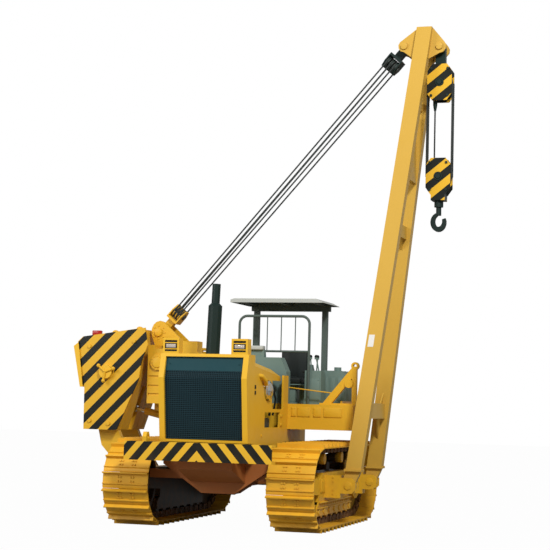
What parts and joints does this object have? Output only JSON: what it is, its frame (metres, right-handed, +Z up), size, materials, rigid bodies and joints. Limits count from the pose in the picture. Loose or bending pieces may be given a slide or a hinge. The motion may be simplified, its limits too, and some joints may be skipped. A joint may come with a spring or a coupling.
{
  "type": "pipelayer",
  "caption": "Crawler pipelayer with a side boom hinged on the left track frame, hoist and luffing rope blocks, a swing-out counterweight and an open canopy.",
  "frame": {"origin": "centre of the whole machine's footprint box at ground level, where the grousers' tips stand", "axes": "+Z up; -Y is the machine's front (radiator), +Y its rear; +X is the machine's left, the boom's side, -X the counterweight's side"},
  "size_m": [6.0482, 4.8, 7.87],
  "materials": {
    "yellow_paint": "satin construction yellow",
    "track_steel": "yellow painted steel, worn",
    "grille_mesh": "dark teal-grey mesh",
    "chrome": "polished",
    "engine_paint": "dark cast iron",
    "dark_paint": "dark green-black",
    "grey_green_paint": "matt grey-green",
    "seat_vinyl": "black vinyl",
    "wire_rope": "greased wire rope"
  },
  "bodies": {
    "machine": {"left_track": "track_steel", "right_track": "track_steel", "track_frames": "yellow_paint", "track_idlers": "yellow_paint", "track_sprockets": "yellow_paint", "track_rollers": "track_steel", "main_frame": "yellow_paint", "side_frames": "yellow_paint", "rear_case": "yellow_paint", "front_bumper": "yellow_paint", "tow_hook": "yellow_paint", "radiator_guard": "yellow_paint", "radiator_grille": "grille_mesh", "headlamps": "yellow_paint", "engine_hood": "yellow_paint", "engine_side_panels": "yellow_paint", "air_intake": "chrome", "engine_block": "engine_paint", "exhaust_stack": "dark_paint", "dashboard_cowl": "grey_green_paint", "operator_deck": "grey_green_paint", "operator_seat": "seat_vinyl", "control_console": "grey_green_paint", "fuel_tank": "grey_green_paint", "rear_tank": "grey_green_paint", "guard_rail": "grey_green_paint", "canopy": "dark_paint", "boom_stop": "yellow_paint", "pin_brackets": "yellow_paint", "winch_housing": "yellow_paint", "winch_drums": "dark_paint", "winch_tower": "yellow_paint", "drawbar": "yellow_paint"},
    "boom": {"boom": "yellow_paint"},
    "tower_block": {"lower_luffing_block": "yellow_paint"},
    "head_block": {"upper_luffing_block": "dark_paint"},
    "rope_end": {"luffing_ropes": "wire_rope"},
    "hoist_head": {"upper_hoist_block": "dark_paint"},
    "hook_body": {"hook_block": "dark_paint", "hoist_ropes": "wire_rope"},
    "hook_turn": {"load_hook": "dark_paint"},
    "weight": {"counterweight": "yellow_paint", "counterweight_arms": "yellow_paint"},
    "barrel": {"cylinder_barrel": "yellow_paint"},
    "rod": {"cylinder_rod": "chrome"}
  },
  "joints": [
    {"name": "boom_hinge", "type": "hinge", "parent": "machine", "child": "boom", "pos_m": [1.63585, 0.33, 0.665], "axis": [0, 1, 0], "range_deg": [0, 70]},
    {"name": "tower_block_hinge", "type": "hinge", "parent": "machine", "child": "tower_block", "pos_m": [-1.75415, 0.33, 3], "axis": [0, 1, 0], "range_deg": [-1, 52.99]},
    {"name": "head_block_hinge", "type": "hinge", "parent": "boom", "child": "head_block", "pos_m": [2.24585, 0.33, 7.59], "axis": [0, 1, 0], "range_deg": [-19.01, 1]},
    {"name": "luffing_slide", "type": "slide", "parent": "tower_block", "child": "rope_end", "axis": [0.657, 0, 0.7539], "range_m": [-0.01, 4.042], "deforming": ["luffing_ropes"]},
    {"name": "hoist_block_hinge", "type": "hinge", "parent": "boom", "child": "hoist_head", "pos_m": [2.81085, 0.33, 7.57], "axis": [0, 1, 0], "range_deg": [-71, 1]},
    {"name": "hook_hoist", "type": "slide", "parent": "hoist_head", "child": "hook_body", "axis": [0, 0, -1], "range_m": [-0.85, 4.5], "deforming": ["hoist_ropes"]},
    {"name": "hook_swivel", "type": "hinge", "parent": "hook_body", "child": "hook_turn", "pos_m": [2.81085, 0.33, 5.08], "axis": [0, 0, 1], "continuous": true},
    {"name": "counterweight_hinge", "type": "hinge", "parent": "machine", "child": "weight", "pos_m": [-1.94415, 0.33, 0.665], "axis": [0, -1, 0], "range_deg": [0, 42]},
    {"name": "barrel_hinge", "type": "hinge", "parent": "machine", "child": "barrel", "pos_m": [-1.11415, 0.33, 1.51], "axis": [0, -1, 0], "range_deg": [-1, 20.66]},
    {"name": "rod_slide", "type": "slide", "parent": "barrel", "child": "rod", "axis": [-0.9751, 0, 0.2216], "range_m": [-0.01, 0.658]}
  ],
  "couplings": [
    {"joint": "tower_block_hinge", "follows": "boom_hinge", "ratio": 0.74266},
    {"joint": "head_block_hinge", "follows": "boom_hinge", "ratio": -0.25734},
    {"joint": "luffing_slide", "follows": "boom_hinge", "m_per_rad": 3.3003},
    {"joint": "hoist_block_hinge", "follows": "boom_hinge", "ratio": -1},
    {"joint": "barrel_hinge", "follows": "counterweight_hinge", "ratio": 0.46803},
    {"joint": "rod_slide", "follows": "counterweight_hinge", "m_per_rad": 0.88397}
  ]
}
